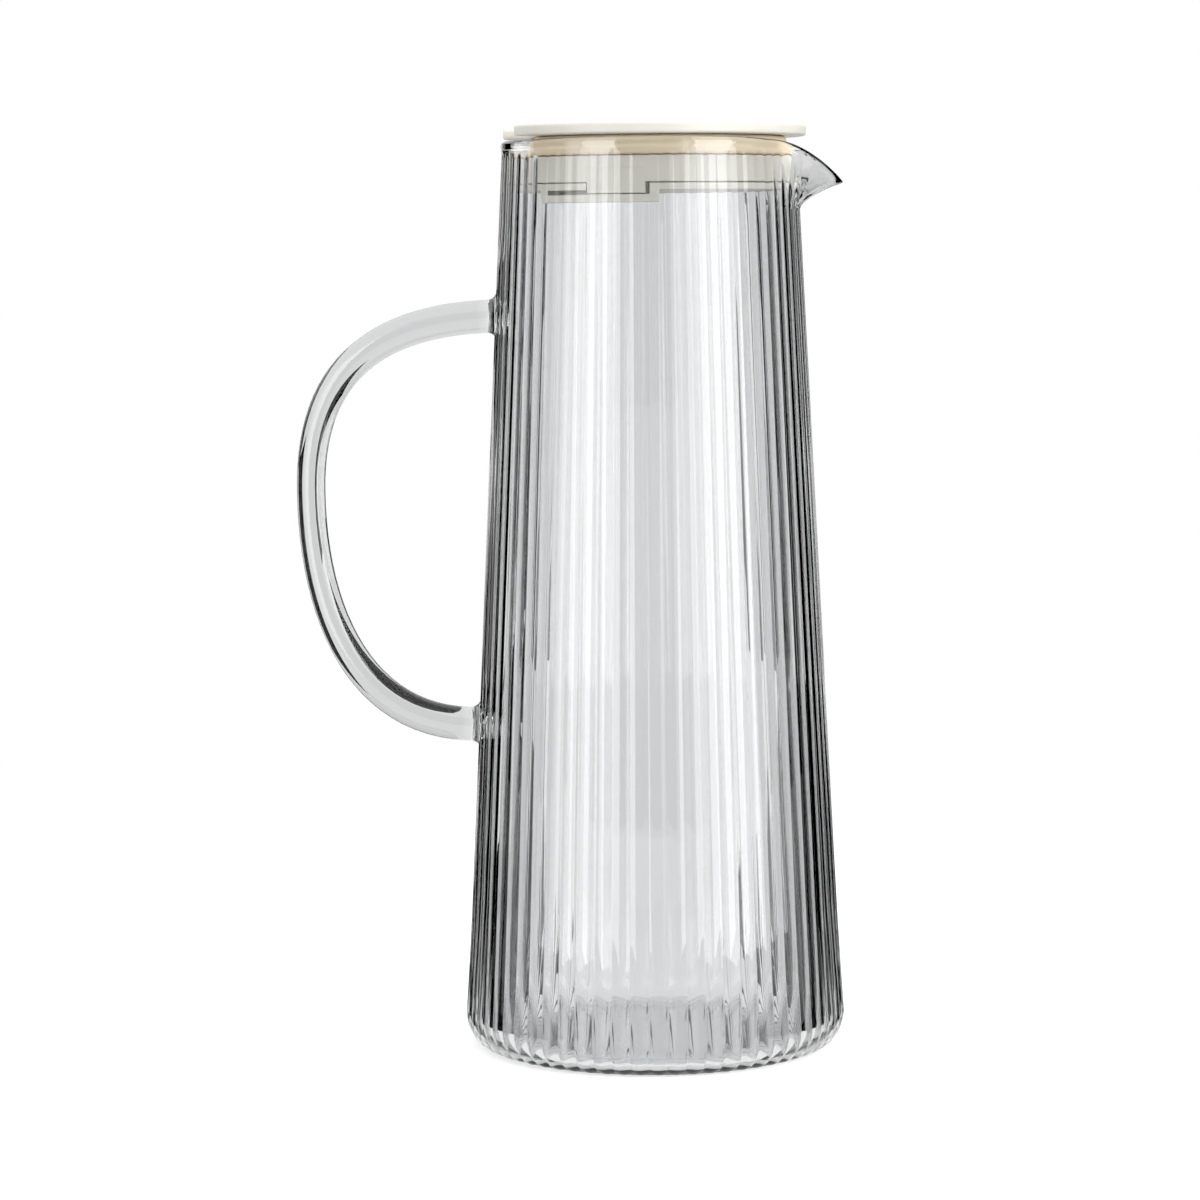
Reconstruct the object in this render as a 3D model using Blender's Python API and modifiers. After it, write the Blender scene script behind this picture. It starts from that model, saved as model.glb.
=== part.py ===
"""Glass jug with a plug lid.

A tapered jug of ribbed glass with a pulled spout and a solid glass rod handle. The lid is a
plastic plug: a plate with a wide notch, a neck that holds a silicone ring, a wall with one lug,
and a cap that clips on under it. Metres, +Z up, origin on the jug's axis at the resting plane,
+X towards the spout. The lid's pieces hang on an empty at the rim, turned about the same axis.
"""

from math import acos, asin, cos, pi, radians, sin, sqrt

import bmesh
import bpy
import numpy as np
from mathutils import Matrix, Vector

MM = 0.001

# Jug body: outer shape, measured over the crests of the ribs
GLASS_HEIGHT = 275 * MM
RIM_RADIUS = 44.3 * MM
CONE_FOOT_RADIUS = 58.0 * MM
FOOT_FLARE = 0.9 * MM
FOOT_FLARE_HEIGHT = 45 * MM
FOOT_CORNER_RUN = 6.5 * MM
FOOT_CORNER_RISE = 9.5 * MM

# Jug body: glass thickness
WALL = 2.6 * MM
FLOOR = 2.8 * MM
FLOOR_CORNER = 5 * MM

# Ribs
RIB_COUNT = 64
RIB_DEPTH_FOOT = 0.55 * MM
RIB_DEPTH_RIM = 0.25 * MM
RIB_SIDES = 3
RIM_BEAD = 3.2 * MM
RIB_RUN_OUT = 1.6 * MM

# Spout, pulled out of the rim at +X
SPOUT_REACH = 15.4 * MM
SPOUT_DROP = 11.5 * MM
RIM_DIP = 1.4 * MM
SPOUT_DEPTH = 21.3 * MM
SPOUT_LIP = 1.8 * MM
SPOUT_HALF_ANGLE = radians(38.5)
DIP_HALF_ANGLE = radians(61)
REACH_PINCH = 1.35
DROP_PINCH = 2.1
SPOUT_CURVE = 1.67
RIB_SMOOTH_SHARE = 0.2

# Handle: a bent rod, its centre line in the XZ plane on the -X side
HANDLE_UPPER_Z = 222 * MM
HANDLE_APEX_Z = 170 * MM
HANDLE_LOWER_Z = 98 * MM
HANDLE_STANDOFF = 53.8 * MM
HANDLE_UPPER_RADIUS = 5.0 * MM
HANDLE_APEX_RADIUS = 4.35 * MM
HANDLE_LOWER_RADIUS = 5.2 * MM
COLLAR_RADIUS = 7.4 * MM
COLLAR_LENGTH = 4.5 * MM
UPPER_PULL_SHARE = 0.695
UPPER_RISE_SHARE = 0.58
LOWER_RISE_SHARE = 0.55
LOWER_PULL_SHARE = 0.645
TILT_SHARE = 0.04

# Fits
SEAT_GAP = 0.3 * MM
SEAL_CLEARANCE = 0.4 * MM
SEAL_PROUD = 0.35 * MM
SPIGOT_CLEARANCE = 0.6 * MM

# Lid plate, its notch towards +X in the lid's own frame
LID_TURN = radians(186)
PLATE_OVERHANG = 2.9 * MM
PLATE_THICKNESS = 3.2 * MM
PLATE_EDGE = 0.7 * MM
NOTCH_HALF_WIDTH = 20.7 * MM
NOTCH_CORNER = 2.0 * MM
NOTCH_LIP = 0.6 * MM

# Lid plug: a round wall with a flat side under the notch, below a narrower neck
FLAT_INSET = 5.5 * MM
PLUG_CORNER = 3.0 * MM
TIGHTEST_CORNER = 0.8 * MM
PLUG_WALL = 2.0 * MM
NECK_INSET = 3.2 * MM
NECK_HEIGHT = 6.1 * MM
BAND_HEIGHT = 7.8 * MM
SEAL_EDGE = 0.6 * MM

# Lug under the plug wall, its angle from the notch
LUG_CENTRE = radians(70)
LUG_HALF_ANGLE = radians(12)
LUG_DROP = 3.3 * MM

# Cap under the plug, with a pocket round the lug and a slot beside it
CAP_THICKNESS = 2.1 * MM
SPIGOT_HEIGHT = 4.0 * MM
SPIGOT_WALL = 1.6 * MM
POCKET_PLAY = radians(1.5)
SLOT_ANGLE = radians(20)
SLOT_RELIEF = 0.1 * MM
POST_ANGLE = radians(3.4)
POCKET_RAIL = 2.3 * MM

# How finely the surfaces are cut and joined
SHARP_ANGLE = radians(28)
SMOOTH_SIDES = 64
ARC_STEPS = 60
SECTOR_STEPS = 9
CORNER_STEPS = 4
CUTTER_OVERRUN = 2 * MM
WELD_DISTANCE = 0.01 * MM


def body_radius(z):
    """Outer radius over the rib crests: a cone with a small quadratic flare at the foot."""
    cone = CONE_FOOT_RADIUS + (RIM_RADIUS - CONE_FOOT_RADIUS) * z / GLASS_HEIGHT
    flare = np.clip(1 - z / FOOT_FLARE_HEIGHT, 0, 1) ** 2
    return cone + FOOT_FLARE * flare


def bell(angle, half_angle):
    """A raised cosine: 1 at the spout's centre line, 0 from half_angle outwards."""
    share = np.clip(np.abs(angle) / half_angle, 0, 1)
    return 0.5 + 0.5 * np.cos(pi * share)


def glass_ring(z, radius, sides, root, rib=0.0):
    """One closed ring of points at height z, pulled out and down where it crosses the spout.

    Above the root the heights are squeezed under the dipping rim, and the radius grows with a
    power of the share of the way up to it. The ribs fade out where the glass is pulled.
    """
    angle = 2 * pi * np.arange(sides) / sides
    turned = np.where(angle > pi, angle - 2 * pi, angle)
    climb = np.clip((z - root) / (GLASS_HEIGHT - root), 0, None)
    pull = bell(turned, SPOUT_HALF_ANGLE) ** REACH_PINCH * climb ** SPOUT_CURVE
    drop = SPOUT_DROP * bell(turned, SPOUT_HALF_ANGLE) ** DROP_PINCH
    drop = drop + RIM_DIP * bell(turned, DIP_HALF_ANGLE)
    valley = 1 - np.abs(np.sin(RIB_COUNT * angle / 2))
    fade = np.clip(1 - pull / RIB_SMOOTH_SHARE, 0, 1)
    depth = RIB_DEPTH_FOOT + (RIB_DEPTH_RIM - RIB_DEPTH_FOOT) * z / GLASS_HEIGHT
    r = radius + SPOUT_REACH * pull - depth * rib * fade * valley
    height = z - drop * climb
    return np.column_stack([r * np.cos(angle), r * np.sin(angle), height])


def glass_rings():
    """The jug's rings in order: under the foot, up the outside, over the rim and down inside."""
    ribbed = RIB_COUNT * RIB_SIDES
    root = GLASS_HEIGHT - SPOUT_DEPTH
    inner_root = root + SPOUT_LIP
    corner_radius = body_radius(FOOT_CORNER_RISE)
    rings = [glass_ring(0, corner_radius - FOOT_CORNER_RUN, SMOOTH_SIDES, root)]

    for turn in np.linspace(0, pi / 2, CORNER_STEPS + 1)[1:]:
        r = corner_radius - FOOT_CORNER_RUN * (1 - sin(turn))
        rings.append(glass_ring(FOOT_CORNER_RISE * (1 - cos(turn)), r, ribbed, root, sin(turn)))
    for z in np.linspace(FOOT_CORNER_RISE, FOOT_FLARE_HEIGHT, 4)[1:]:
        rings.append(glass_ring(z, body_radius(z), ribbed, root, 1))
    rib_top = GLASS_HEIGHT - RIM_BEAD - RIB_RUN_OUT
    for z in np.linspace(root, rib_top, 5):
        rings.append(glass_ring(z, body_radius(z), ribbed, root, 1))

    bead = GLASS_HEIGHT - RIM_BEAD
    rings.append(glass_ring(bead, body_radius(bead), SMOOTH_SIDES, root))
    edge_z = GLASS_HEIGHT - WALL / 2
    for turn in np.linspace(0, pi, 5):
        r = body_radius(edge_z) - WALL / 2 * (1 - cos(turn))
        edge_root = inner_root if turn > pi / 2 else root
        rings.append(glass_ring(edge_z + WALL / 2 * sin(turn), r, SMOOTH_SIDES, edge_root))

    for z in np.linspace(bead, inner_root, 5):
        rings.append(glass_ring(z, body_radius(z) - WALL, SMOOTH_SIDES, inner_root))
    flare_inside = body_radius(FOOT_FLARE_HEIGHT) - WALL
    rings.append(glass_ring(FOOT_FLARE_HEIGHT, flare_inside, SMOOTH_SIDES, inner_root))
    low = FLOOR + FLOOR_CORNER
    for turn in np.linspace(0, pi / 2, CORNER_STEPS + 1):
        r = body_radius(low) - WALL - FLOOR_CORNER * (1 - cos(turn))
        rings.append(glass_ring(low - FLOOR_CORNER * sin(turn), r, SMOOTH_SIDES, inner_root))
    return rings


def bridge(bm, lower, upper):
    """Join two closed rings of vertices. One may have a whole number of times as many as the other."""
    steps = min(len(lower), len(upper))
    low_each = len(lower) // steps
    high_each = len(upper) // steps
    for i in range(steps):
        low = [lower[(i * low_each + k) % len(lower)] for k in range(low_each + 1)]
        high = [upper[(i * high_each + k) % len(upper)] for k in range(high_each + 1)]
        bm.faces.new(low + high[::-1])


def loft_mesh(name, rings):
    """A closed mesh through rings of points, with a flat face on the first and the last."""
    bm = bmesh.new()
    loops = [[bm.verts.new(point) for point in ring] for ring in rings]
    for lower, upper in zip(loops, loops[1:]):
        bridge(bm, lower, upper)
    bm.faces.new(loops[0][::-1])
    bm.faces.new(loops[-1])
    bmesh.ops.recalc_face_normals(bm, faces=bm.faces)
    mesh = bpy.data.meshes.new(name)
    bm.to_mesh(mesh)
    bm.free()
    return mesh


def curve_mesh(name, curve, place):
    """The curve as a closed mesh moved to its place, with its loose caps welded on."""
    source = bpy.data.objects.new(name, curve)
    bpy.context.scene.collection.objects.link(source)
    graph = bpy.context.evaluated_depsgraph_get()
    mesh = bpy.data.meshes.new_from_object(source.evaluated_get(graph))
    mesh.transform(place)
    bm = bmesh.new()
    bm.from_mesh(mesh)
    bmesh.ops.remove_doubles(bm, verts=bm.verts, dist=WELD_DISTANCE)
    bmesh.ops.recalc_face_normals(bm, faces=bm.faces)
    bm.to_mesh(mesh)
    bm.free()
    bpy.data.objects.remove(source)
    return mesh


def flat_prism(name, outlines, low, high):
    """Flat outlines as one filled 2D curve, an inner one being a hole, from low to high."""
    curve = bpy.data.curves.new(name, "CURVE")
    curve.dimensions = "2D"
    curve.fill_mode = "BOTH"
    curve.extrude = (high - low) / 2
    for outline in outlines:
        spline = curve.splines.new("POLY")
        spline.points.add(len(outline) - 1)
        for point, place in zip(spline.points, outline):
            point.co = (place[0], place[1], 0, 1)
        spline.use_cyclic_u = True
    return curve_mesh(name, curve, Matrix.Translation((0, 0, (low + high) / 2)))


def arc(radius, start, end, steps):
    return [(radius * cos(step), radius * sin(step)) for step in np.linspace(start, end, steps)]


def sector_prism(name, start, end, inner, low, high):
    """A cutter bent round the axis between two angles, from the inner radius out past the plug."""
    outer = plug_radius() + CUTTER_OVERRUN
    outline = arc(outer, start, end, SECTOR_STEPS) + arc(inner, end, start, SECTOR_STEPS)
    return flat_prism(name, [outline], low, high)


def bitten_prism(name, start, end, inner, low, high):
    """A disc-shaped cutter that spares what lies beyond the inner radius between two angles."""
    outer = plug_radius() + CUTTER_OVERRUN
    outline = arc(outer, end, start + 2 * pi, ARC_STEPS) + arc(inner, start, end, SECTOR_STEPS)
    return flat_prism(name, [outline], low, high)


def plug_radius():
    return RIM_RADIUS - WALL - SEAL_CLEARANCE - SEAL_PROUD


def flat_distance():
    return plug_radius() - FLAT_INSET


def plug_outline(offset):
    """The plug's outline moved out by offset: a circle with one flat side and rounded corners."""
    corner = max(PLUG_CORNER + offset, TIGHTEST_CORNER)
    centre_far = plug_radius() + offset - corner
    centre_in = flat_distance() + offset - corner
    centre_side = sqrt(centre_far ** 2 - centre_in ** 2)
    half = acos(centre_in / centre_far)
    points = arc(plug_radius() + offset, half, 2 * pi - half, ARC_STEPS)
    turns = np.linspace(0, half, CORNER_STEPS + 1)[:-1]
    right = [(centre_in + corner * cos(turn), centre_side + corner * sin(turn)) for turn in turns]
    left = [(x, -y) for x, y in right[::-1]]
    return points + left + right


def plate_outline():
    """A disc with a wide notch, cut in to just outside the plug's flat side."""
    radius = RIM_RADIUS + PLATE_OVERHANG
    start = asin(NOTCH_HALF_WIDTH / radius)
    floor = flat_distance() + NOTCH_LIP
    points = arc(radius, start, 2 * pi - start, ARC_STEPS)
    right = []
    for turn in np.linspace(pi / 2, 0, CORNER_STEPS + 1):
        inward = floor + NOTCH_CORNER * (1 - sin(turn))
        right.append((inward, NOTCH_HALF_WIDTH - NOTCH_CORNER * (1 - cos(turn))))
    left = [(x, -y) for x, y in right[::-1]]
    return points + left + right


def lid_heights():
    """The lid's levels, from the rim down: plate, shoulder, foot of the wall, cap top and bottom."""
    plate_low = SEAT_GAP
    shoulder = plate_low - NECK_HEIGHT
    band_low = shoulder - BAND_HEIGHT
    cap_high = band_low - SEAT_GAP
    return plate_low, shoulder, band_low, cap_high, cap_high - CAP_THICKNESS


def material(name, color, roughness, transmission=0.0):
    made = bpy.data.materials.new(name)
    made.use_nodes = True
    shader = made.node_tree.nodes["Principled BSDF"]
    shader.inputs["Base Color"].default_value = (*color, 1)
    shader.inputs["Roughness"].default_value = roughness
    shader.inputs["Metallic"].default_value = 0
    shader.inputs["Transmission Weight"].default_value = transmission
    return made


def add_object(name, data, collection, finish, parent=None):
    data.shade_smooth()
    data.set_sharp_from_angle(angle=SHARP_ANGLE)
    data.materials.append(finish)
    made = bpy.data.objects.new(name, data)
    made.parent = parent
    collection.objects.link(made)
    return made


def apply_tool(target, data, tools, operation):
    """Add a Boolean modifier whose tool is a hidden wire object on the target's own parent."""
    tool = bpy.data.objects.new(data.name, data)
    tool.parent = target.parent
    tool.hide_render = True
    tool.display_type = "WIRE"
    tools.objects.link(tool)
    modifier = target.modifiers.new(data.name, "BOOLEAN")
    modifier.operation = operation
    modifier.solver = "EXACT"
    modifier.object = tool
    return tool


def add_empty(name, collection, parent=None):
    made = bpy.data.objects.new(name, None)
    made.parent = parent
    collection.objects.link(made)
    return made


def make_jug(parts, glass):
    return add_object("jug_body", loft_mesh("jug_body", glass_rings()), parts, glass)


def handle_points():
    """The rod's Bezier points: place, offsets of the handles before and after, and radius."""
    apex_x = float(body_radius(HANDLE_APEX_Z)) + HANDLE_STANDOFF
    ends = []
    for z, radius, pull_share, direction in (
        (HANDLE_UPPER_Z, HANDLE_UPPER_RADIUS, UPPER_PULL_SHARE, -1),
        (HANDLE_LOWER_Z, HANDLE_LOWER_RADIUS, LOWER_PULL_SHARE, 1),
    ):
        wall_x = float(body_radius(z))
        root = Vector((-(wall_x - WALL), 0, z))
        neck = Vector((-(wall_x + COLLAR_LENGTH), 0, z))
        step = (neck - root) / 3
        pull = pull_share * (apex_x - wall_x) * Vector((-1, 0, direction * TILT_SHARE))
        ends.append([(root, -step, step, COLLAR_RADIUS), (neck, -step, pull, radius)])
    up = Vector((0, 0, UPPER_RISE_SHARE * (HANDLE_UPPER_Z - HANDLE_APEX_Z)))
    down = Vector((0, 0, -LOWER_RISE_SHARE * (HANDLE_APEX_Z - HANDLE_LOWER_Z)))
    apex = (Vector((-apex_x, 0, HANDLE_APEX_Z)), up, down, HANDLE_APEX_RADIUS)
    upper, lower = ends
    return upper + [apex] + [(place, after, before, r) for place, before, after, r in lower[::-1]]


def make_handle(parts, tools, glass):
    """A Bezier rod swept from wall to wall, its ends cut to the round of the body."""
    curve = bpy.data.curves.new("handle", "CURVE")
    curve.dimensions = "3D"
    curve.bevel_depth = HANDLE_APEX_RADIUS
    curve.bevel_resolution = 4
    curve.resolution_u = 12
    curve.use_fill_caps = True
    points = handle_points()
    spline = curve.splines.new("BEZIER")
    spline.bezier_points.add(len(points) - 1)
    for bezier, (place, before, after, radius) in zip(spline.bezier_points, points):
        bezier.handle_left_type = bezier.handle_right_type = "FREE"
        bezier.co = place
        bezier.handle_left = place + before
        bezier.handle_right = place + after
        bezier.radius = radius / HANDLE_APEX_RADIUS
    made = add_object("handle", curve_mesh("handle", curve, Matrix()), parts, glass)

    low = HANDLE_LOWER_Z - 2 * COLLAR_RADIUS
    high = HANDLE_UPPER_Z + 2 * COLLAR_RADIUS
    sides = RIB_COUNT * RIB_SIDES
    root = GLASS_HEIGHT - SPOUT_DEPTH
    rings = [glass_ring(z, body_radius(z) + SEAT_GAP, sides, root) for z in (low, high)]
    apply_tool(made, loft_mesh("handle_end_cutter", rings), tools, "DIFFERENCE")
    return made


def make_lid_cover(parts, tools, plastic, seat):
    """Plate, neck and plug wall in one moulding, with a lug hanging under the wall."""
    plate_low, shoulder, band_low, _, _ = lid_heights()
    lug_low = band_low - LUG_DROP
    plug = flat_prism("lid_cover", [plug_outline(0)], lug_low, shoulder)
    made = add_object("lid_cover", plug, parts, plastic, seat)

    neck_high = plate_low + PLATE_THICKNESS / 2
    neck = flat_prism("neck_blank", [plug_outline(-NECK_INSET)], shoulder - PLUG_WALL / 2, neck_high)
    apply_tool(made, neck, tools, "UNION")
    plate = flat_prism("plate_blank", [plate_outline()], plate_low, plate_low + PLATE_THICKNESS)
    edge = apply_tool(made, plate, tools, "UNION").modifiers.new("edge", "BEVEL")
    edge.width = PLATE_EDGE
    edge.segments = 2
    edge.limit_method = "ANGLE"

    cut_low = lug_low - CUTTER_OVERRUN
    ledge_low = shoulder - PLUG_WALL
    hollow = flat_prism("hollow_cutter", [plug_outline(-PLUG_WALL)], cut_low, ledge_low)
    apply_tool(made, hollow, tools, "DIFFERENCE")
    neck_hollow = plug_outline(-NECK_INSET - PLUG_WALL)
    neck_cutter = flat_prism("neck_cutter", [neck_hollow], ledge_low - CUTTER_OVERRUN, plate_low)
    apply_tool(made, neck_cutter, tools, "DIFFERENCE")
    around_lug = bitten_prism("lug_cutter", LUG_CENTRE - LUG_HALF_ANGLE, LUG_CENTRE + LUG_HALF_ANGLE,
                              plug_radius() - 2 * PLUG_WALL, cut_low, band_low)
    apply_tool(made, around_lug, tools, "DIFFERENCE")
    return made


def make_seal_ring(parts, silicone, seat):
    """A band round the neck, a little proud of the plug wall, its edges rounded."""
    plate_low, shoulder, _, _, _ = lid_heights()
    outlines = [plug_outline(SEAL_PROUD), plug_outline(SEAT_GAP - NECK_INSET)]
    band = flat_prism("seal_ring", outlines, shoulder + SEAT_GAP, plate_low - SEAT_GAP)
    made = add_object("seal_ring", band, parts, silicone, seat)
    edge = made.modifiers.new("edge", "BEVEL")
    edge.width = SEAL_EDGE
    edge.limit_method = "ANGLE"
    return made


def make_plug_cap(parts, tools, plastic, seat):
    """A floor under the plug with a spigot inside its wall and a pocket round the lug."""
    _, _, band_low, cap_high, cap_low = lid_heights()
    rail_high = band_low - LUG_DROP - SEAT_GAP
    rail_low = rail_high - POCKET_RAIL
    blank = flat_prism("plug_cap", [plug_outline(0)], rail_low, cap_high)
    made = add_object("plug_cap", blank, parts, plastic, seat)

    spigot_out = -PLUG_WALL - SPIGOT_CLEARANCE
    outlines = [plug_outline(spigot_out), plug_outline(spigot_out - SPIGOT_WALL)]
    spigot_low = cap_high - CAP_THICKNESS / 2
    spigot = flat_prism("spigot_blank", outlines, spigot_low, band_low + SPIGOT_HEIGHT)
    apply_tool(made, spigot, tools, "UNION")

    gap_start = LUG_CENTRE - LUG_HALF_ANGLE - SEAT_GAP / plug_radius()
    gap_end = LUG_CENTRE + LUG_HALF_ANGLE + POCKET_PLAY
    slot_start = gap_start - SLOT_ANGLE
    inner = plug_radius() - PLUG_WALL
    around_pocket = bitten_prism("pocket_cutter", slot_start - POST_ANGLE, gap_end + POST_ANGLE,
                                 inner, rail_low - CUTTER_OVERRUN, cap_low)
    apply_tool(made, around_pocket, tools, "DIFFERENCE")
    cut_in = inner - SEAT_GAP
    lug_gap = sector_prism("lug_gap_cutter", gap_start, gap_end, cut_in,
                           rail_high, cap_high + CUTTER_OVERRUN)
    apply_tool(made, lug_gap, tools, "DIFFERENCE")
    slot = sector_prism("slot_cutter", slot_start, gap_start + SEAT_GAP / inner, cut_in - SLOT_RELIEF,
                        rail_high - SLOT_RELIEF, cap_low + SLOT_RELIEF)
    apply_tool(made, slot, tools, "DIFFERENCE")
    return made


def clear_scene():
    for old in list(bpy.data.objects):
        bpy.data.objects.remove(old)


def main():
    clear_scene()
    parts = bpy.data.collections.new("glass_jug")
    tools = bpy.data.collections.new("glass_jug_tools")
    for collection in (parts, tools):
        bpy.context.scene.collection.children.link(collection)

    glass = material("smoky_glass", (0.86, 0.88, 0.9), 0.02, transmission=1.0)
    plastic = material("cream_plastic", (0.88, 0.86, 0.79), 0.4)
    silicone = material("tan_silicone", (0.78, 0.66, 0.5), 0.5)

    make_jug(parts, glass)
    make_handle(parts, tools, glass)

    lid_seat = add_empty("lid_seat", parts)
    lid_seat.location = (0, 0, GLASS_HEIGHT)
    lid_seat.rotation_euler = (0, 0, LID_TURN)
    make_lid_cover(parts, tools, plastic, lid_seat)
    make_seal_ring(parts, silicone, lid_seat)
    cap_seat = add_empty("cap_seat", parts, lid_seat)
    make_plug_cap(parts, tools, plastic, cap_seat)


if __name__ == "__main__":
    main()
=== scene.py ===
"""Ribbed glass jug with a plug lid: finished surfaces, studio stage and camera.

Run as a script in Blender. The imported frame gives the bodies; every piece here is a numpy
surface in the same metres and axes: +Z up, +X towards the spout, origin under the base.
"""

from math import cos, pi, radians, sin

import bmesh
import bpy
import numpy as np
from bpy.props import FloatProperty, FloatVectorProperty, IntProperty, PointerProperty
from mathutils import Matrix, Vector


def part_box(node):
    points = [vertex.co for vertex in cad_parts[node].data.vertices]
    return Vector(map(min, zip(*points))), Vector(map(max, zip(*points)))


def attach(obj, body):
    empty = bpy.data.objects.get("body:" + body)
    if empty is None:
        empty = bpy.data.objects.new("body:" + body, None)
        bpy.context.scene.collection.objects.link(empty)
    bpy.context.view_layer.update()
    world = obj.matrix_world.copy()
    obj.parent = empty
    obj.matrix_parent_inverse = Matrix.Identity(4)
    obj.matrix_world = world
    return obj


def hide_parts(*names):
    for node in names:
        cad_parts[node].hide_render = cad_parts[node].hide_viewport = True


bl_info = {
    "name": "Ribbed Glass Jug",
    "version": (1, 0, 0),
    "blender": (4, 5, 0),
    "location": "View3D > Sidebar > Jug",
    "description": "Builds a ribbed glass jug with a plug lid around its packed frame",
    "category": "Add Mesh",
}

MM = 0.001

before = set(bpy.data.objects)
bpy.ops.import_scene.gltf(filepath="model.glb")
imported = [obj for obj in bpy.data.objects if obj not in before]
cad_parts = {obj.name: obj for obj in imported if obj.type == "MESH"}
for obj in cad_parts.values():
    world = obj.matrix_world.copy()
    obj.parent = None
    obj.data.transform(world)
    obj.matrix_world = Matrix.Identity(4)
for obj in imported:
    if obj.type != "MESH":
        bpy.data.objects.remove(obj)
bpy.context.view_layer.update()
GLASS_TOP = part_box("jug_body")[1].z

# The pull into the spout: half angles of the lip and of the rim's wider dip, powers of the lip's
# width, rise and drop, and the pull at which the ribs have run out
LIP_HALF, DIP_HALF = radians(38.5), radians(61)
PULL_POWER, CLIMB_POWER, DROP_POWER = 1.35, 1.67, 2.1
RIBS_GONE = 0.45

# Rows of the glass: heights in the plain wall, shares of the radius under the foot and on the
# floor, powers that gather the foot's corner rows and start its ribs, and the height of the
# floor's inside corner over its width
WALL_ROWS = (100 * MM, 175 * MM)
FOOT_SHARES, FLOOR_SHARES = (0.25, 0.88), (0.7, 0.2)
CORNER_POWER, RIB_POWER = 1.4, 0.3
FLOOR_RISE = 1.4

# The handle's bends: at an end the reach over the standoff and the slope, and at the apex the
# reach over the way up and over the way down
UPPER_BEND, LOWER_BEND = (0.695, -0.04), (0.645, 0.04)
APEX_UP, APEX_DOWN = 0.58, 0.55

# Rings of upright stage panels: radius at the top, radius at the floor, height
FLAG_RING, BOX_RING, BEHIND_RING = (1.2, 1.2, 0.5), (1.25, 0.45, 0.9), (1.3, 1.3, 1.4)
WHITE, BLACK = (1, 1, 1, 1), (0, 0, 0, 1)


class JugGlassSettings(bpy.types.PropertyGroup):
    """Sizes of the glass body, its ribs and its spout."""

    height: FloatProperty(
        name="Height", description="Foot to rim", default=GLASS_TOP - 0.6 * MM, unit="LENGTH")
    rim_radius: FloatProperty(
        name="Rim radius", description="Over the glass at the rim",
        default=44.3 * MM, unit="LENGTH")
    foot_radius: FloatProperty(
        name="Foot radius", description="Of the cone, run down to the table",
        default=58 * MM, unit="LENGTH")
    flare: FloatProperty(
        name="Foot flare", description="Extra radius at the foot",
        default=0.73 * MM, unit="LENGTH")
    flare_height: FloatProperty(
        name="Flare height", description="Where the flare begins", default=45 * MM, unit="LENGTH")
    corner_run: FloatProperty(
        name="Foot corner run", description="Width of the rounded corner",
        default=6.5 * MM, unit="LENGTH")
    corner_rise: FloatProperty(
        name="Foot corner rise", description="Height of the rounded corner",
        default=9.5 * MM, unit="LENGTH")
    wall: FloatProperty(
        name="Wall", description="Glass thickness", default=2.6 * MM, unit="LENGTH")
    floor: FloatProperty(
        name="Floor", description="Base thickness", default=2.8 * MM, unit="LENGTH")
    floor_corner: FloatProperty(
        name="Floor corner", description="Inside fillet at the floor",
        default=5 * MM, unit="LENGTH")
    rib_count: IntProperty(name="Ribs", description="Ribs round the body", default=64)
    rib_depth: FloatProperty(
        name="Rib depth", description="Crest to valley at the foot",
        default=0.55 * MM, unit="LENGTH")
    rib_depth_rim: FloatProperty(
        name="Rib depth at the rim", description="Crest to valley",
        default=0.25 * MM, unit="LENGTH")
    rib_foot: FloatProperty(
        name="Rib deepening", description="Deeper by this at the foot",
        default=0.35 * MM, unit="LENGTH")
    rib_turn: FloatProperty(
        name="Rib turn", description="First valley off the spout",
        default=radians(3.5), subtype="ANGLE")
    rib_drift: FloatProperty(
        name="Rib drift", description="Less turn at the handle",
        default=radians(0.9), subtype="ANGLE")
    bead: FloatProperty(
        name="Rim bead", description="Smooth band under the rim", default=3.2 * MM, unit="LENGTH")
    bead_bulge: FloatProperty(
        name="Bead bulge", description="Of the fire-polished rim",
        default=0.35 * MM, unit="LENGTH")
    rib_fade: FloatProperty(
        name="Rib fade", description="Height over which the ribs run out",
        default=2.6 * MM, unit="LENGTH")
    spout_reach: FloatProperty(
        name="Spout reach", description="How far the lip is pulled out",
        default=14.5 * MM, unit="LENGTH")
    spout_drop: FloatProperty(
        name="Spout drop", description="How far the lip is pulled down",
        default=11.5 * MM, unit="LENGTH")
    rim_dip: FloatProperty(
        name="Rim dip", description="Wider dip of the rim at the spout",
        default=1.4 * MM, unit="LENGTH")
    spout_depth: FloatProperty(
        name="Spout depth", description="Rim to the spout's root",
        default=21.3 * MM, unit="LENGTH")
    spout_lip: FloatProperty(
        name="Spout lip", description="Rise of the inner root", default=1.8 * MM, unit="LENGTH")


class HandleSettings(bpy.types.PropertyGroup):
    """Sizes of the rod handle, its centre line in the XZ plane on the -X side."""

    upper_z: FloatProperty(
        name="Upper joint", description="Height of the upper weld",
        default=222 * MM, unit="LENGTH")
    apex_z: FloatProperty(
        name="Apex height", description="Height of the widest point",
        default=170 * MM, unit="LENGTH")
    lower_z: FloatProperty(
        name="Lower joint", description="Height of the lower weld",
        default=98 * MM, unit="LENGTH")
    standoff: FloatProperty(
        name="Standoff", description="Wall to the rod's centre", default=53.8 * MM, unit="LENGTH")
    upper_radius: FloatProperty(
        name="Upper radius", description="Rod at the upper joint",
        default=5.0 * MM, unit="LENGTH")
    apex_radius: FloatProperty(
        name="Apex radius", description="Rod at the apex", default=4.35 * MM, unit="LENGTH")
    lower_radius: FloatProperty(
        name="Lower radius", description="Rod at the lower joint",
        default=5.2 * MM, unit="LENGTH")
    collar_radius: FloatProperty(
        name="Collar radius", description="Weld inside the wall", default=9 * MM, unit="LENGTH")
    collar_length: FloatProperty(
        name="Collar length", description="Run of the weld's flare",
        default=3.0 * MM, unit="LENGTH")


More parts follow.
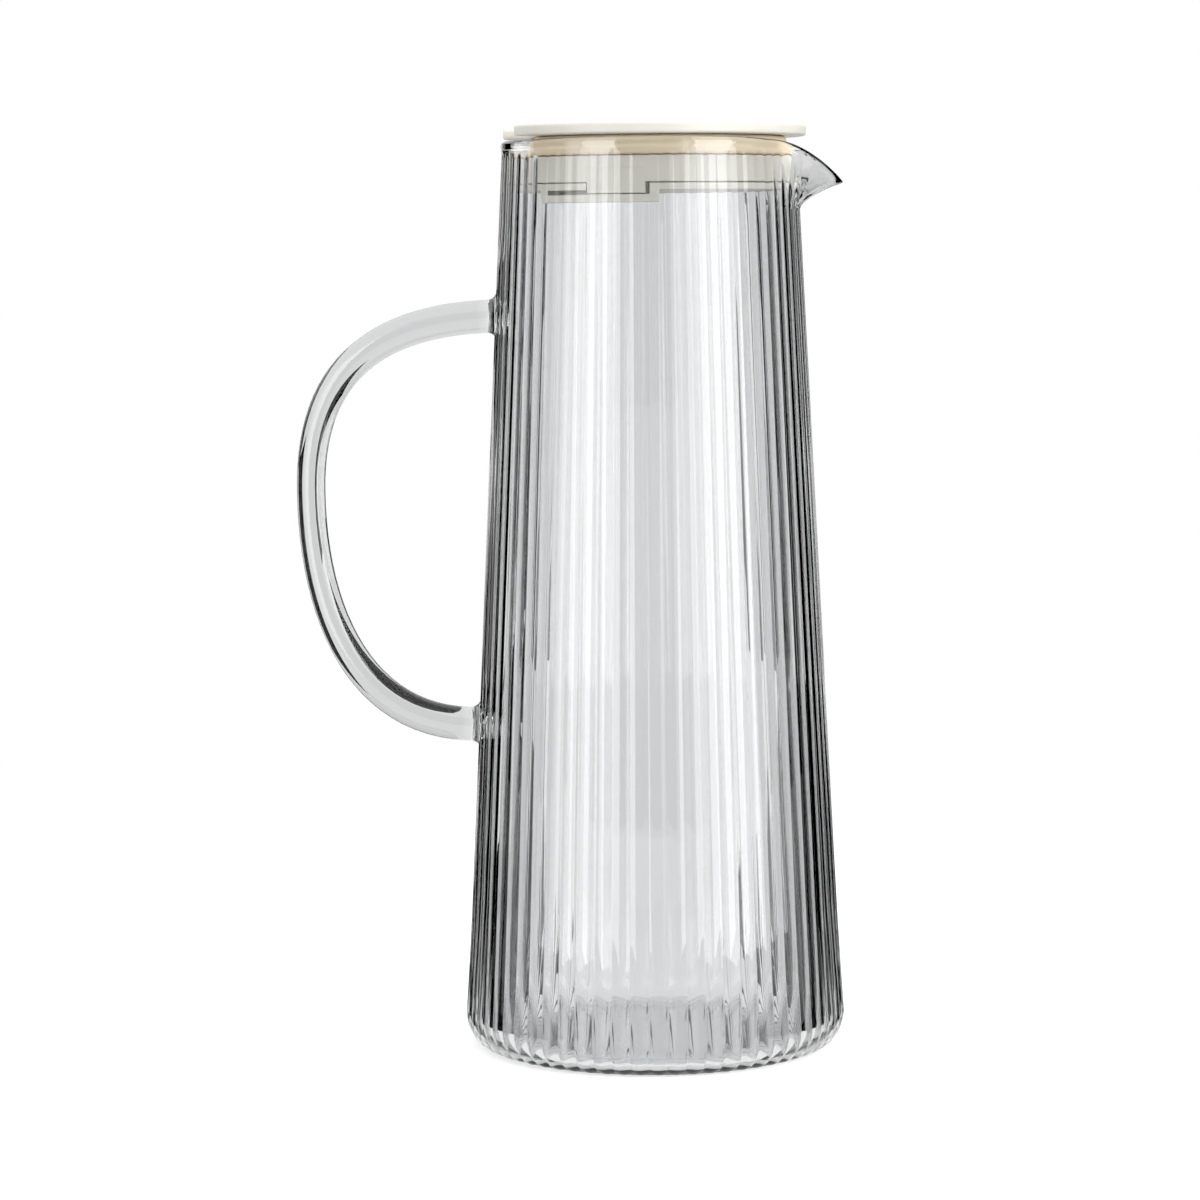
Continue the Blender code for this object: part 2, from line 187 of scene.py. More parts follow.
class LidSettings(bpy.types.PropertyGroup):
    """Sizes of the lid: plate, plug, ring, lug and clip-on cap."""

    turn: FloatProperty(
        name="Turn", description="Direction of the notch", default=radians(186), subtype="ANGLE")
    gap: FloatProperty(
        name="Gap", description="Between seated pieces", default=0.3 * MM, unit="LENGTH")
    plate_radius: FloatProperty(
        name="Plate radius", description="Of the round plate", default=47.2 * MM, unit="LENGTH")
    plate: FloatProperty(
        name="Plate", description="Plate thickness", default=3.2 * MM, unit="LENGTH")
    plate_edge: FloatProperty(
        name="Plate edge", description="Rounding of the plate", default=0.8 * MM, unit="LENGTH")
    notch_half: FloatProperty(
        name="Notch half width", description="Of the notch", default=20.7 * MM, unit="LENGTH")
    notch_corner: FloatProperty(
        name="Notch corner", description="Fillet in the notch", default=2 * MM, unit="LENGTH")
    notch_lip: FloatProperty(
        name="Notch lip", description="Plate past the plug's flat",
        default=0.6 * MM, unit="LENGTH")
    plug_radius: FloatProperty(
        name="Plug radius", description="Of the plug wall", default=40.95 * MM, unit="LENGTH")
    flat: FloatProperty(
        name="Flat", description="Axis to the plug's flat", default=35.45 * MM, unit="LENGTH")
    corner: FloatProperty(
        name="Plug corner", description="Round to flat", default=3 * MM, unit="LENGTH")
    wall: FloatProperty(
        name="Plug wall", description="Plastic thickness", default=2 * MM, unit="LENGTH")
    neck_inset: FloatProperty(
        name="Neck inset", description="Wall to neck", default=3.2 * MM, unit="LENGTH")
    neck: FloatProperty(name="Neck", description="Neck height", default=6.1 * MM, unit="LENGTH")
    band: FloatProperty(
        name="Band", description="Plug wall height", default=7.8 * MM, unit="LENGTH")
    seal_proud: FloatProperty(
        name="Ring proud", description="Ring past the wall", default=0.35 * MM, unit="LENGTH")
    lug_angle: FloatProperty(
        name="Lug", description="Lug from the notch", default=radians(70), subtype="ANGLE")
    lug_half: FloatProperty(
        name="Lug half angle", description="Half the lug", default=radians(12), subtype="ANGLE")
    lug_drop: FloatProperty(
        name="Lug drop", description="Lug below the wall", default=3.3 * MM, unit="LENGTH")
    cap: FloatProperty(
        name="Cap", description="Cap floor thickness", default=2.1 * MM, unit="LENGTH")
    spigot: FloatProperty(
        name="Spigot", description="Spigot above the wall's foot", default=4 * MM, unit="LENGTH")
    spigot_wall: FloatProperty(
        name="Spigot wall", description="Spigot thickness", default=1.6 * MM, unit="LENGTH")
    spigot_gap: FloatProperty(
        name="Spigot gap", description="Spigot to wall", default=0.6 * MM, unit="LENGTH")
    slot_angle: FloatProperty(
        name="Slot", description="Length of the slot", default=radians(20), subtype="ANGLE")
    post_angle: FloatProperty(
        name="Post", description="Width of a post", default=radians(3.4), subtype="ANGLE")
    play: FloatProperty(
        name="Play", description="Lug to post", default=radians(1.5), subtype="ANGLE")
    pocket_back: FloatProperty(
        name="Pocket back", description="Pocket past the wall", default=4.5 * MM, unit="LENGTH")
    rail: FloatProperty(
        name="Rail", description="Bar under the lug", default=2.3 * MM, unit="LENGTH")


class FinishSettings(bpy.types.PropertyGroup):
    """Colours of the finishes and the strength of their detail."""

    glass: FloatVectorProperty(
        name="Glass", description="Smoky glass", default=(0.83, 0.838, 0.842), subtype="COLOR")
    rod: FloatVectorProperty(
        name="Rod", description="Smoky glass, in the thick rod",
        default=(0.71, 0.715, 0.72), subtype="COLOR")
    smoke: FloatVectorProperty(
        name="Smoke", description="Absorption colour",
        default=(0.475, 0.49, 0.485), subtype="COLOR")
    smoke_density: FloatProperty(
        name="Smoke density", description="Absorption per metre", default=12)
    cream: FloatVectorProperty(
        name="Cream", description="Lid plastic", default=(0.80, 0.775, 0.70), subtype="COLOR")
    tan: FloatVectorProperty(
        name="Tan", description="Silicone ring", default=(0.93, 0.78, 0.56), subtype="COLOR")


class StudioSettings(bpy.types.PropertyGroup):
    """The camera and the stage."""

    lens: FloatProperty(name="Lens", description="Focal length in mm", default=111)
    distance: FloatProperty(
        name="Distance", description="Camera in front of the axis",
        default=1121.3 * MM, unit="LENGTH")
    side: FloatProperty(
        name="Side", description="Camera to the side", default=-15.92 * MM, unit="LENGTH")
    rise: FloatProperty(
        name="Rise", description="Camera above the table", default=243.8 * MM, unit="LENGTH")
    pitch: FloatProperty(
        name="Pitch", description="Looking down", default=0.0962, subtype="ANGLE")
    roll: FloatProperty(
        name="Roll", description="About the view", default=-0.0086, subtype="ANGLE")
    fill: FloatProperty(name="Fill", description="World light on the object", default=1.1)
    through_glass: FloatProperty(
        name="Light through glass", description="Times the world light, on matt pieces",
        default=2.15)
    floor_glow: FloatProperty(
        name="Floor glow", description="White added near the jug", default=0.36)
    flag_start: FloatProperty(name="Flag start", description="Degrees off the view", default=19)
    left_box: FloatProperty(name="Left soft box", description="Strength in gloss", default=4.5)
    right_box: FloatProperty(name="Right soft box", description="Strength in gloss", default=5)
    strip: FloatProperty(name="Side soft boxes", description="Strength in gloss", default=2)


SETTINGS = {
    "jug_glass": JugGlassSettings,
    "jug_handle": HandleSettings,
    "jug_lid": LidSettings,
    "jug_finish": FinishSettings,
    "jug_studio": StudioSettings,
}


# Mesh helpers

def grid_faces(rows, columns, closed=True):
    """Quads of a grid, each row above the last; a closed one's last column meets its first."""
    across = np.arange(columns if closed else columns - 1)
    row, column = np.meshgrid(np.arange(rows - 1), across, indexing="ij")
    after = (column + 1) % columns
    corners = (row * columns + column, row * columns + after, (row + 1) * columns + after,
               (row + 1) * columns + column)
    return np.stack(corners, axis=-1).reshape(-1, 4)


def solid_mesh(name, grid, faces):
    """A mesh from a grid of points and its faces, turned outwards."""
    mesh = bpy.data.meshes.new(name)
    mesh.from_pydata(grid.reshape(-1, 3), [], faces)
    bm = bmesh.new()
    bm.from_mesh(mesh)
    bmesh.ops.recalc_face_normals(bm, faces=bm.faces)
    bm.to_mesh(mesh)
    bm.free()
    return mesh


def shell_mesh(name, grid):
    """A closed mesh from rows of points (rows, columns, 3), with a flat face on each end row."""
    rows, columns = grid.shape[:2]
    faces = grid_faces(rows, columns).tolist()
    faces.append(list(range(columns))[::-1])
    faces.append(list(range((rows - 1) * columns, rows * columns)))
    return solid_mesh(name, grid, faces)


def tube_mesh(name, grid):
    """A closed mesh from rows of points that also close on themselves, like a tyre."""
    rows, columns = grid.shape[:2]
    faces = grid_faces(rows + 1, columns) % (rows * columns)
    return solid_mesh(name, grid, faces.tolist())


def add_piece(name, mesh, finish, body, nodes, sharp=radians(35)):
    """Link a finished mesh, shade it, give it its finish, hang it on its body's empty and hide the
    frame's nodes that it replaces.
    """
    mesh.shade_smooth()
    mesh.set_sharp_from_angle(angle=sharp)
    mesh.materials.clear()
    mesh.materials.append(finish)
    piece = bpy.data.objects.new(name, mesh)
    bpy.context.scene.collection.objects.link(piece)
    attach(piece, body)
    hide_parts(*nodes)
    return piece


def combine(base, tools, operation):
    """Base mesh joined with or cut by each tool mesh in turn, by exact Booleans."""
    target = bpy.data.objects.new(base.name, base)
    bpy.context.scene.collection.objects.link(target)
    made = []
    for tool in tools:
        helper = bpy.data.objects.new(tool.name, tool)
        bpy.context.scene.collection.objects.link(helper)
        modifier = target.modifiers.new(tool.name, "BOOLEAN")
        modifier.operation = operation
        modifier.solver = "EXACT"
        modifier.object = helper
        made.append(helper)
    graph = bpy.context.evaluated_depsgraph_get()
    mesh = bpy.data.meshes.new_from_object(target.evaluated_get(graph))
    mesh.name = base.name
    for helper in (target, *made):
        bpy.data.objects.remove(helper)
    return mesh


# Glass surfaces

def body_radius(glass, z):
    """A cone from the foot to the rim, with a quadratic flare near the foot."""
    cone = glass.foot_radius + (glass.rim_radius - glass.foot_radius) * z / glass.height
    return cone + glass.flare * np.clip(1 - z / glass.flare_height, 0, 1) ** 2


def bell(angle, half_angle):
    """A raised cosine: 1 at angle 0, falling to 0 at half_angle."""
    return 0.5 + 0.5 * np.cos(pi * np.clip(np.abs(angle) / half_angle, 0, 1))


def rib_columns(glass):
    """Angles of the columns, closer together near the valleys, and how far each is down a valley.

    A column is 1 in a valley and 0 on a crest: one less the size of a sine, a little rounded. The
    ribs are turned by rib_turn at the spout, and by rib_drift less at the handle.
    """
    across = np.array([0, 0.02, 0.06, 0.14, 0.26, 0.38, 0.5, 0.62, 0.74, 0.86, 0.94, 0.98])
    even = (np.arange(glass.rib_count)[:, None] + across).ravel() * 2 * pi / glass.rib_count
    rounding = 0.002
    valley = 1 - np.sqrt(np.sin(glass.rib_count * even / 2) ** 2 + rounding)
    return even + glass.rib_turn - glass.rib_drift * (1 - np.cos(even)) / 2, valley


def pulled_grid(glass, rows, angle, valley):
    """Rings of the profile's rows round the angles (columns), pulled into the spout.

    Above its root each ring is moved out by the spout's reach times a bell in angle and a power
    of the share of the way up, and moved down by the rim's drop times that share. A valley is
    pressed in by the rib's depth times the row's rib, and up by the depth times its lift.
    """
    z, radius, root, rib, lift = rows[:, :, None]
    turned = (angle[None, :] + pi) % (2 * pi) - pi
    lip = bell(turned, LIP_HALF)
    climb = np.clip((z - root) / (glass.height - root), 0, None)
    pull = lip ** PULL_POWER * climb ** CLIMB_POWER
    drop = glass.spout_drop * lip ** DROP_POWER + glass.rim_dip * bell(turned, DIP_HALF)
    fade = np.clip(1 - pull / RIBS_GONE, 0, 1)
    depth = glass.rib_depth + (glass.rib_depth_rim - glass.rib_depth) * z / glass.height
    depth = (depth + glass.rib_foot * np.clip(1 - z / glass.flare_height, 0, 1) ** 2) * valley
    r = radius + glass.spout_reach * pull - depth * rib * fade
    up = z - drop * climb + depth * lift
    return np.stack([r * np.cos(turned), r * np.sin(turned), up], axis=-1)


def foot_corner(glass, root):
    """Rows of a quarter ellipse from table to wall, with ribs pressed in along the normal."""
    outer = body_radius(glass, glass.corner_rise)
    run, rise = glass.corner_run, glass.corner_rise
    turn = pi / 2 * np.linspace(0, 1, 14) ** CORNER_POWER
    steep = np.hypot(np.sin(turn) / run, np.cos(turn) / rise)
    return [(rise * (1 - cos(t)), outer - run * (1 - sin(t)), root,
             sin(t) ** RIB_POWER * sin(t) / run / k, sin(t) ** RIB_POWER * cos(t) / rise / k)
            for t, k in zip(turn, steep)]


def glass_profile(glass):
    """Rows from under the foot, up the outside, over the rim and down the inside to the floor.

    The rows' five values are stacked: height, radius, the spout root that the row follows, and
    how far its ribs press in and up. A row that leaves out its last value has 0 there.
    """
    root = glass.height - glass.spout_depth
    inner_root = root + glass.spout_lip
    below_root = 4 * MM
    corner = foot_corner(glass, root)
    centre = [(0, share * corner[0][1], root, 0) for share in FOOT_SHARES]
    levels = [*np.linspace(glass.corner_rise, glass.flare_height, 8)[1:], *WALL_ROWS,
              root - below_root]
    levels += list(np.linspace(root, glass.height - glass.bead - glass.rib_fade, 16))
    outside = [(z, body_radius(glass, z), root, 1) for z in levels]
    top = glass.height - glass.bead
    for share in (0.25, 0.5, 0.75, 1):
        z = top - glass.rib_fade * (1 - share)
        outside.append((z, body_radius(glass, z), root, 0.5 + 0.5 * cos(pi * share)))
    half = glass.wall / 2
    edge = glass.height - half
    bulge = glass.bead_bulge
    neck = body_radius(glass, top)
    outside += [(top + share * (edge - top), neck + bulge * sin(share * pi / 2), root, 0)
                for share in (0.2, 0.45, 0.7)]
    crown = body_radius(glass, edge)
    rim = [(edge + half * sin(t), crown + bulge * max(cos(t), 0) - half * (1 - cos(t)),
            root if t < pi / 2 else inner_root, 0) for t in np.linspace(0, pi, 13)]
    levels = [*np.linspace(edge - 2 * MM, inner_root, 12), inner_root - below_root,
              *WALL_ROWS[::-1], glass.flare_height, 25 * MM]
    inside = [(z, body_radius(glass, z) - glass.wall, inner_root, 0) for z in levels]
    low = glass.floor + FLOOR_RISE * glass.floor_corner
    wall = body_radius(glass, low) - glass.wall
    inside += [(low - (low - glass.floor) * sin(t), wall - glass.floor_corner * (1 - cos(t)),
                inner_root, 0) for t in np.linspace(0, pi / 2, 13)]
    floor = [(glass.floor, share * inside[-1][1], inner_root, 0) for share in FLOOR_SHARES]
    rows = centre + corner + outside + rim + inside + floor
    return np.array([(*row, 0)[:5] for row in rows]).T


def bezier(points, steps):
    """Points along joined cubic Beziers; each given point has a place and its two handles.

    The thickness eases from point to point, and the two end runs flare out like a fillet.
    """
    t = np.linspace(0, 1, steps, endpoint=False)[:, None]
    runs = []
    for at, ((start, _, out, r0), (end, back, _, r1)) in enumerate(zip(points, points[1:])):
        a, b, c, d = start, start + out, end + back, end
        place = (1 - t) ** 3 * a + 3 * (1 - t) ** 2 * t * b + 3 * (1 - t) * t ** 2 * c + t ** 3 * d
        ease = t[:, 0] ** 2 * (3 - 2 * t[:, 0])
        if at == 0:
            ease = 1 - (1 - t[:, 0]) ** 3
        elif at == len(points) - 2:
            ease = t[:, 0] ** 3
        runs.append(np.column_stack([place, r0 + (r1 - r0) * ease]))
    last = points[-1]
    return np.vstack(runs + [np.append(last[0], last[3])[None, :]])


def handle_path(glass, handle):
    """Rows of x, z and radius along the rod, from inside the upper wall to inside the lower."""
    apex_x = body_radius(glass, handle.apex_z) + handle.standoff
    ends = []
    for z, radius, (share, tilt) in ((handle.upper_z, handle.upper_radius, UPPER_BEND),
                                     (handle.lower_z, handle.lower_radius, LOWER_BEND)):
        wall_x = body_radius(glass, z)
        root = np.array([-(wall_x - glass.wall / 2), z])
        neck = np.array([-(wall_x + handle.collar_length), z])
        step = (neck - root) / 3
        pull = share * (apex_x - wall_x) * np.array([-1, tilt])
        ends.append([(root, -step, step, handle.collar_radius), (neck, -step, pull, radius)])
    up = np.array([0, APEX_UP * (handle.upper_z - handle.apex_z)])
    down = np.array([0, -APEX_DOWN * (handle.apex_z - handle.lower_z)])
    apex = (np.array([-apex_x, handle.apex_z]), up, down, handle.apex_radius)
    lower = [(place, after, before, r) for place, before, after, r in ends[1][::-1]]
    return bezier(ends[0] + [apex] + lower, steps=24)


def rod_grid(path, sides):
    """A round rod carried along a path in the XZ plane: circles square to the path's slope."""
    x, z, radius = path.T
    slope = np.gradient(path[:, :2], axis=0)
    slope /= np.linalg.norm(slope, axis=1)[:, None]
    turn = 2 * pi * np.arange(sides) / sides
    across = np.cos(turn)[None, :] * radius[:, None]
    return np.stack([x[:, None] - slope[:, 1:] * across, np.sin(turn)[None, :] * radius[:, None],
                     z[:, None] + slope[:, :1] * across], axis=-1)


# Lid surfaces

def plug_rows(lid, offset):
    """The plug's outline moved out by each offset (rows): arc, corner, flat, corner (columns)."""
    offset = np.asarray(offset, float)[:, None]
    least_corner = 0.8 * MM
    corner = np.maximum(lid.corner + offset, least_corner)
    far = lid.plug_radius + offset - corner
    near = lid.flat + offset - corner
    side = np.sqrt(far ** 2 - near ** 2)
    half = np.arccos(near / far)
    around = half + np.linspace(0, 1, 180, endpoint=False) * (2 * pi - 2 * half)
    radius = lid.plug_radius + offset
    bend = half * np.linspace(0, 1, 8, endpoint=False)
    across = side * np.linspace(-1, 1, 24, endpoint=False)
    x = [radius * np.cos(around), near + corner * np.cos(bend - half),
         lid.flat + offset + 0 * across, near + corner * np.cos(bend)]
    y = [radius * np.sin(around), -side + corner * np.sin(bend - half), across,
         side + corner * np.sin(bend)]
    return np.concatenate(x, axis=1), np.concatenate(y, axis=1)


def plate_rows(lid, inset):
    """The plate's outline drawn in by each inset (rows): arc, notch side, floor, notch side."""
    inset = np.asarray(inset, float)[:, None]
    radius = lid.plate_radius - inset
    width = lid.notch_half + inset
    floor = lid.flat + lid.notch_lip - inset
    corner = lid.notch_corner + inset
    start = np.arcsin(width / radius)
    around = start + np.linspace(0, 1, 240) * (2 * pi - 2 * start)
    mouth = radius * np.cos(start)
    run = np.linspace(0, 1, 8, endpoint=False)
    side = mouth + (floor + corner - mouth) * run[1:]
    turn = pi / 2 * run
    across = (width - corner) * np.linspace(-1, 1, 24, endpoint=False)
    x = [radius * np.cos(around), side, floor + corner * (1 - np.sin(turn)) + 0 * width,
         floor + 0 * across, floor + corner * (1 - np.cos(turn)), side[:, ::-1]]
    y = [radius * np.sin(around), -width + 0 * side, -width + corner * (1 - np.cos(turn)), across,
         width - corner * (1 - np.sin(turn)), width + 0 * side]
    return np.concatenate(x, axis=1), np.concatenate(y, axis=1)


def lid_place(lid, x, y, z):
    """Turn lid coordinates about the jug's axis and lift them to the rim."""
    turn_x = x * cos(lid.turn) - y * sin(lid.turn)
    turn_y = x * sin(lid.turn) + y * cos(lid.turn)
    return np.stack([turn_x, turn_y, z + GLASS_TOP + 0 * x], axis=-1)


def plug_stack(lid, offset, z):
    """The plug's outline at each offset and height, in place."""
    x, y = plug_rows(lid, offset)
    return lid_place(lid, x, y, np.asarray(z, float)[:, None])


def arc_bar(lid, start, end, inner, outer, low, high, edge):
    """A rounded rectangle carried round the axis between two angles."""
    turn = np.linspace(0, pi / 2, 5)
    corners = [(outer - edge, high - edge, 0), (inner + edge, high - edge, pi / 2),
               (inner + edge, low + edge, pi), (outer - edge, low + edge, 1.5 * pi)]
    r = np.concatenate([cr + edge * np.cos(turn + a) for cr, _, a in corners])
    z = np.concatenate([cz + edge * np.sin(turn + a) for _, cz, a in corners])
    angle = np.linspace(start, end, 40)[:, None]
    return lid_place(lid, r[None, :] * np.cos(angle), r[None, :] * np.sin(angle), z[None, :])


def lid_levels(lid):
    """Heights from the rim: plate underside, shoulder, wall foot, cap top and cap underside."""
    plate_low = lid.gap
    shoulder = plate_low - lid.neck
    foot = shoulder - lid.band
    return plate_low, shoulder, foot, foot - lid.gap, foot - lid.gap - lid.cap


# Node helpers

def feed(tree, socket, value):
    """Set an input socket, or link it where the value is another node's socket."""
    if isinstance(value, bpy.types.NodeSocket):
        tree.links.new(value, socket)
    else:
        socket.default_value = value


def feed_all(tree, sockets, **values):
    """Feed each socket by name, with _ for a space in the name."""
    for name, value in values.items():
        feed(tree, sockets[name.replace("_", " ")], value)


def add_math(tree, operation, *values, clamp=False):
    """A Math node's result; each value is a number or a socket."""
    node = tree.nodes.new("ShaderNodeMath")
    node.operation = operation
    node.use_clamp = clamp
    for socket, value in zip(node.inputs, values):
        feed(tree, socket, value)
    return node.outputs["Value"]


def add_range(tree, value, low, high, start=0, end=1, easing="LINEAR"):
    """A value between start and end, mapped to between low and high and kept there."""
    node = tree.nodes.new("ShaderNodeMapRange")
    node.interpolation_type = easing
    feed_all(tree, node.inputs, Value=value, From_Min=start, From_Max=end, To_Min=low, To_Max=high)
    return node.outputs["Result"]


def add_mix(tree, share, first, second):
    """The first colour, turning into the second by a share."""
    node = tree.nodes.new("ShaderNodeMix")
    node.data_type = "RGBA"
    feed_all(tree, node.inputs, Factor=share, A=first, B=second)
    return node.outputs["Result"]


def add_noise(tree, place, label, **values):
    """A noise at a place, with sockets set by name."""
    node = tree.nodes.new("ShaderNodeTexNoise")
    node.label = label
    feed_all(tree, node.inputs, Vector=place, **values)
    return node.outputs["Fac"]


def object_place(tree):
    """Object coordinates."""
    return tree.nodes.new("ShaderNodeTexCoord").outputs["Object"]


def add_reach(tree, place):
    """How far a place is from the origin."""
    node = tree.nodes.new("ShaderNodeVectorMath")
    node.operation = "LENGTH"
    feed(tree, node.inputs[0], place)
    return node.outputs["Value"]


def new_group(name, inputs, outputs):
    """A shader node group with its sockets, and the sockets of its two end nodes."""
    group = bpy.data.node_groups.new(name, "ShaderNodeTree")
    sockets = group.interface
    for label, kind, value in inputs:
        socket = sockets.new_socket(label, in_out="INPUT", socket_type="NodeSocket" + kind)
        socket.default_value = value
    for label, kind in outputs:
        sockets.new_socket(label, in_out="OUTPUT", socket_type="NodeSocket" + kind)
    start = group.nodes.new("NodeGroupInput").outputs
    return group, start, group.nodes.new("NodeGroupOutput").inputs


def new_material(name):
    """A material, its tree and its shader's inputs."""
    made = bpy.data.materials.new(name)
    made.use_nodes = True
    return made, made.node_tree, made.node_tree.nodes["Principled BSDF"].inputs


def add_effect(tree, group, **values):
    """A node group placed in a material with its own values; gives the group's results."""
    node = tree.nodes.new("ShaderNodeGroup")
    node.node_tree = group
    feed_all(tree, node.inputs, **values)
    return node.outputs


def add_bump(tree, height, strength, distance):
    """The surface's normal, bumped by a height."""
    bump = tree.nodes.new("ShaderNodeBump")
    feed_all(tree, bump.inputs, Strength=strength, Distance=distance, Height=height)
    return bump.outputs["Normal"]


# Finishes

def wave_group():
    """Waves of hand-worked glass, a haze of handling, a ground ring under the foot, a deeper rod.

    The ring lies below ground_top and beyond Ground From. The rod starts where a cone as steep as
    the wall, Rod From off the axis at the table, is passed on the -X side.
    """
    name = "worked_glass"
    if name in bpy.data.node_groups:
        return bpy.data.node_groups[name]
    ground_top, ground_haze = 0.2 * MM, 0.9
    rod_slope, rod_blend = 0.05, 4 * MM
    group, start, end = new_group(
        name,
        [("Wave Scale", "Float", 20), ("Haze", "Float", 0.01),
         ("Ground From", "Float", 0.045), ("Rod From", "Float", 0.0595),
         ("Color", "Color", (0.8, 0.8, 0.8, 1)),
         ("Rod Color", "Color", (0.7, 0.7, 0.7, 1))],
        [("Height", "Float"), ("Roughness", "Float"), ("Color", "Color")])
    place = object_place(group)
    axes = group.nodes.new("ShaderNodeSeparateXYZ")
    feed(group, axes.inputs["Vector"], place)
    x, z = axes.outputs["X"], axes.outputs["Z"]
    behind = add_math(group, "MULTIPLY_ADD", z, rod_slope, add_math(group, "MULTIPLY", x, -1))
    beyond = add_math(group, "SUBTRACT", behind, start["Rod From"])
    rod = add_math(group, "DIVIDE", beyond, rod_blend, clamp=True)
    under = add_math(group, "LESS_THAN", z, ground_top)
    outer = add_math(group, "GREATER_THAN", add_reach(group, place), start["Ground From"])
    ring = add_math(group, "MULTIPLY", under, outer)
    smears = add_noise(group, place, "smears", Scale=45, Detail=4)
    haze = add_math(group, "MULTIPLY", smears, start["Haze"])
    feed_all(group, end,
             Color=add_mix(group, rod, start["Color"], start["Rod Color"]),
             Roughness=add_math(group, "MULTIPLY_ADD", ring, ground_haze, haze),
             Height=add_noise(group, place, "waves", Scale=start["Wave Scale"], Detail=1))
    return group


def grain_group():
    """Moulded surface: a slow mottle in the colour, a fine spark-eroded grain, dusty patches."""
    name = "moulded_grain"
    if name in bpy.data.node_groups:
        return bpy.data.node_groups[name]
    dust = 0.12
    group, start, end = new_group(
        name,
        [("Color", "Color", (0.8, 0.8, 0.8, 1)),
         ("Deep Color", "Color", (0.7, 0.7, 0.7, 1)),
         ("Grain Scale", "Float", 2500), ("Gloss", "Float", 0.45)],
        [("Color", "Color"), ("Roughness", "Float"), ("Height", "Float")])
    place = object_place(group)
    mottle = add_noise(group, place, "mottle", Scale=70, Detail=5, Roughness=0.6)
    spread = add_range(group, mottle, 0, 1, 0.3, 0.7)
    feed_all(group, end,
             Color=add_mix(group, spread, start["Deep Color"], start["Color"]),
             Roughness=add_math(group, "MULTIPLY_ADD", mottle, dust, start["Gloss"]),
             Height=add_noise(group, place, "grain", Scale=start["Grain Scale"], Detail=2))
    return group


def glass_finish(finish):
    """Clear glass that darkens with its thickness, a little wavy, with a trace of haze."""
    name = "worked_smoky_glass"
    if name in bpy.data.materials:
        return bpy.data.materials[name]
    made, tree, shader = new_material(name)
    worked = add_effect(tree, wave_group(), Wave_Scale=26, Haze=0.012,
                        Color=(*finish.glass, 1), Rod_Color=(*finish.rod, 1))
    feed_all(tree, shader, Transmission_Weight=1, IOR=1.5, Metallic=0,
             Base_Color=worked["Color"], Roughness=worked["Roughness"],
             Normal=add_bump(tree, worked["Height"], 0.12, 0.4 * MM))
    smoke = tree.nodes.new("ShaderNodeVolumeAbsorption")
    feed_all(tree, smoke.inputs, Color=(*finish.smoke, 1), Density=finish.smoke_density)
    feed(tree, tree.nodes["Material Output"].inputs["Volume"], smoke.outputs["Volume"])
    return made


def moulded_finish(name, color, deepening, gloss, scale, strength):
    """Moulded plastic or silicone with mottle, grain and patchy gloss."""
    if name in bpy.data.materials:
        return bpy.data.materials[name]
    made, tree, shader = new_material(name)
    deep = tuple(deepening * value for value in color)
    grain = add_effect(tree, grain_group(), Color=(*color, 1), Deep_Color=(*deep, 1),
                       Grain_Scale=scale, Gloss=gloss)
    feed_all(tree, shader, Specular_IOR_Level=0.4, Base_Color=grain["Color"],
             Roughness=grain["Roughness"],
             Normal=add_bump(tree, grain["Height"], strength, 0.05 * MM))
    return made


def cream_finish(finish):
    """Satin plastic of the cover and the cap."""
    return moulded_finish("satin_cream_plastic", finish.cream, 0.95, 0.38, 2600, 0.25)


def tan_finish(finish):
    """Matt silicone of the ring."""
    return moulded_finish("matt_tan_silicone", finish.tan, 0.93, 0.5, 1800, 0.3)


# Operators

class JUG_OT_glass(bpy.types.Operator):
    """Build the ribbed glass body with its spout, and the rod handle fused to it"""

    bl_idname = "jug.glass"
    bl_label = "Glass Body and Handle"

    def execute(self, context):
        scene = context.scene
        glass, handle = scene.jug_glass, scene.jug_handle
        rings = pulled_grid(glass, glass_profile(glass), *rib_columns(glass))
        body = shell_mesh("jug_glass", rings)
        rod = shell_mesh("handle_rod", rod_grid(handle_path(glass, handle), sides=48))
        fused = combine(body, [rod], "UNION")
        add_piece("jug_glass", fused, glass_finish(scene.jug_finish), "jug",
                  ["jug_body", "handle"], sharp=radians(60))
        return {"FINISHED"}


